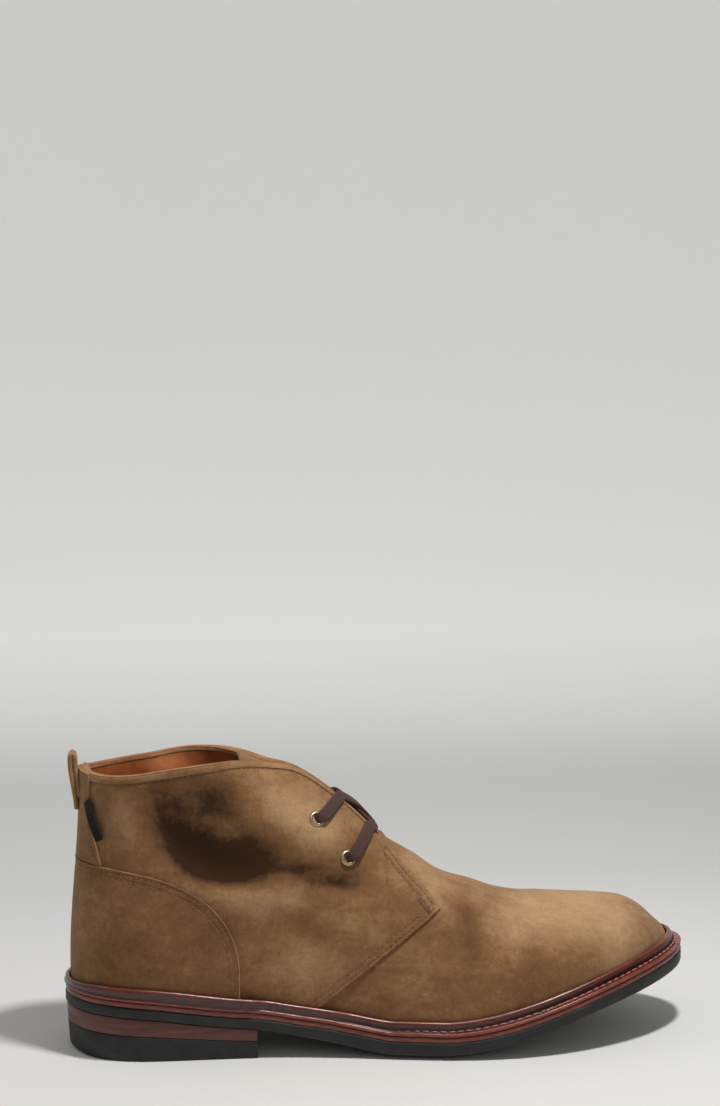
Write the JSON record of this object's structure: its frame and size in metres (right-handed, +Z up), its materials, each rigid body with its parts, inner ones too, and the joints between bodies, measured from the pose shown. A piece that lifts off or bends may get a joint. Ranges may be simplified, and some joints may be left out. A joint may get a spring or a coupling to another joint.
{
  "type": "chukka boot",
  "caption": "Ankle-high suede boot with an open laced throat, a back pull loop, a storm-welted sole with toe spring and a stacked heel.",
  "frame": {"origin": "on the floor plane, at the middle of the boot's length and width", "axes": "+X to the toe, +Y to the inner (medial) side, +Z up"},
  "size_m": [0.306, 0.1085, 0.1437],
  "materials": {
    "rubber": "matt black, lightly scuffed",
    "sole_leather": "red-brown edge dressing, satin",
    "welt_leather": "burgundy-brown, glossy, stitched",
    "insole_leather": "smooth tan",
    "suede": "sand-brown suede nap with darker folds",
    "tab_cloth": "plain dark woven tape",
    "lace_cotton": "flat waxed dark-brown cotton",
    "eyelet_metal": "pale plated brass"
  },
  "bodies": {
    "root": {"outsole": "rubber", "midsole": "sole_leather", "heel_lift": "sole_leather", "top_lift": "rubber", "welt": "welt_leather", "insole": "insole_leather", "upper": "suede", "heel_counter": "suede", "back_strip": "suede", "pull_loop": "suede", "side_tab": "tab_cloth", "tongue": "suede", "eyelet_lateral_upper": "eyelet_metal", "eyelet_medial_upper": "eyelet_metal", "eyelet_lateral_lower": "eyelet_metal", "eyelet_medial_lower": "eyelet_metal", "lace": "lace_cotton"}
  },
  "joints": []
}
